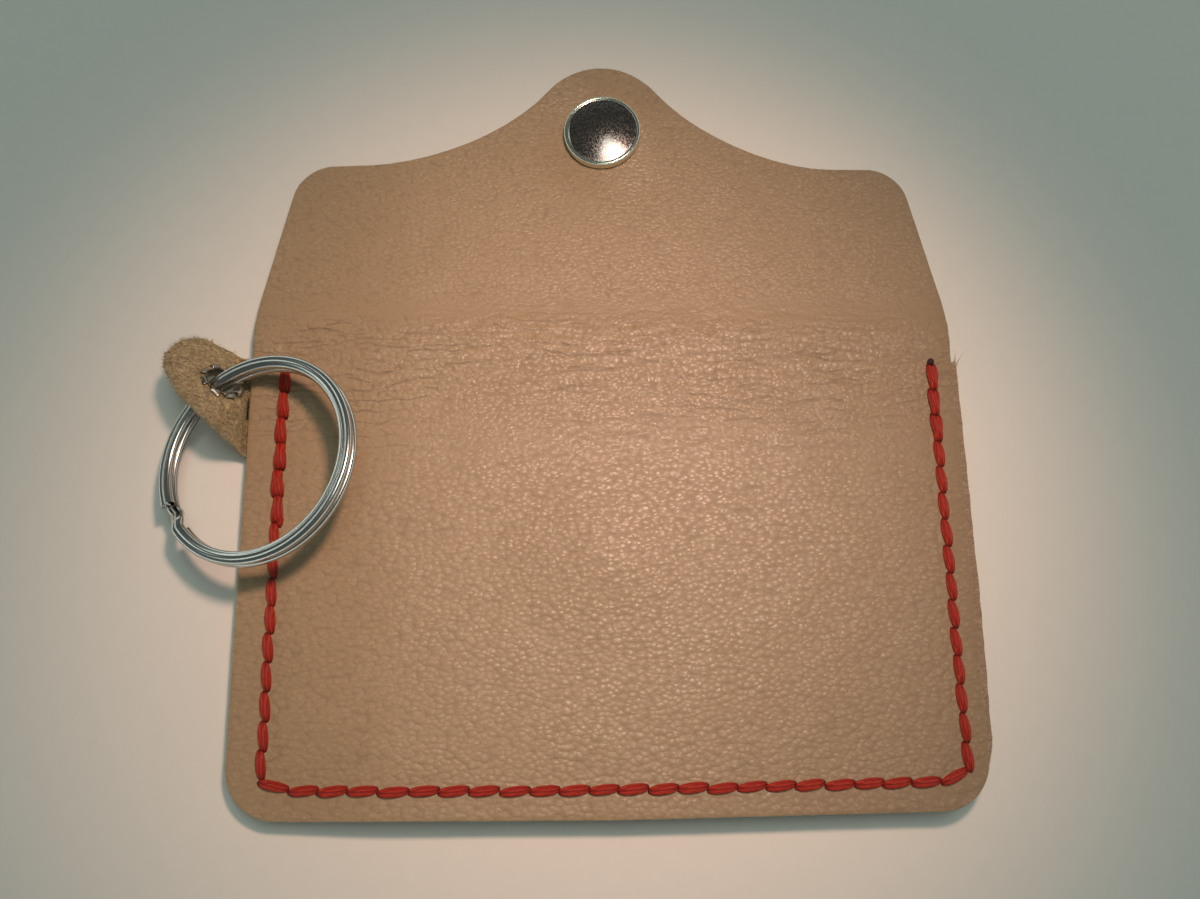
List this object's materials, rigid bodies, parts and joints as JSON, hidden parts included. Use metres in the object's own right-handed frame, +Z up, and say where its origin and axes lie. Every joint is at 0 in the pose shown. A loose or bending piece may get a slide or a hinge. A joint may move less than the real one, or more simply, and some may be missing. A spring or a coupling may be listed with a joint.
{
  "type": "keychain card wallet",
  "caption": "Leather card wallet lying open, with hand-stitched sides, a shaped flap that closes with a press stud, and a split ring in a leather tab.",
  "frame": {"origin": "under the middle of the open wallet, on the surface that it lies on", "axes": "+X to the right along the fold, away from the ring; +Y from the bottom edge to the flap's tip; +Z up, out of the side that shows in the picture"},
  "size_m": [0.1148, 0.1122, 0.0161],
  "materials": {
    "grain_leather": "tan pebbled grain, satin",
    "suede_leather": "rough flesh side, olive brown",
    "waxed_thread": "red waxed thread",
    "nickel": "darkened nickel plate, polished",
    "ring_steel": "bright nickel-plated spring steel"
  },
  "bodies": {
    "pouch": {"back_panel": "grain_leather", "pocket_panel": "grain_leather", "key_tab_root": "suede_leather", "seam_thread": "waxed_thread", "snap_stud": "nickel", "stud_post": "nickel"},
    "flap": {"flap": "grain_leather", "snap_cap": "nickel", "cap_post": "nickel", "snap_socket": "nickel", "snap_spring": "ring_steel"},
    "key_tab": {"key_tab": "suede_leather", "key_eyelet": "nickel"},
    "ring": {"split_ring": "ring_steel"}
  },
  "joints": [
    {"name": "flap_fold", "type": "hinge", "parent": "pouch", "child": "flap", "pos_m": [0.00482, 0.01147, 0.00155], "axis": [-1, 0, 0], "range_deg": [0, 180]},
    {"name": "tab_bend", "type": "hinge", "parent": "pouch", "child": "key_tab", "pos_m": [-0.04653, 0.00353, 0.0035], "axis": [0, -1, 0], "range_deg": [0, 40]},
    {"name": "ring_swing", "type": "hinge", "parent": "key_tab", "child": "ring", "pos_m": [-0.04976, 0.00353, 0.00587], "axis": [-0.8082, -0.5276, -0.2616], "range_deg": [0, 160]}
  ]
}
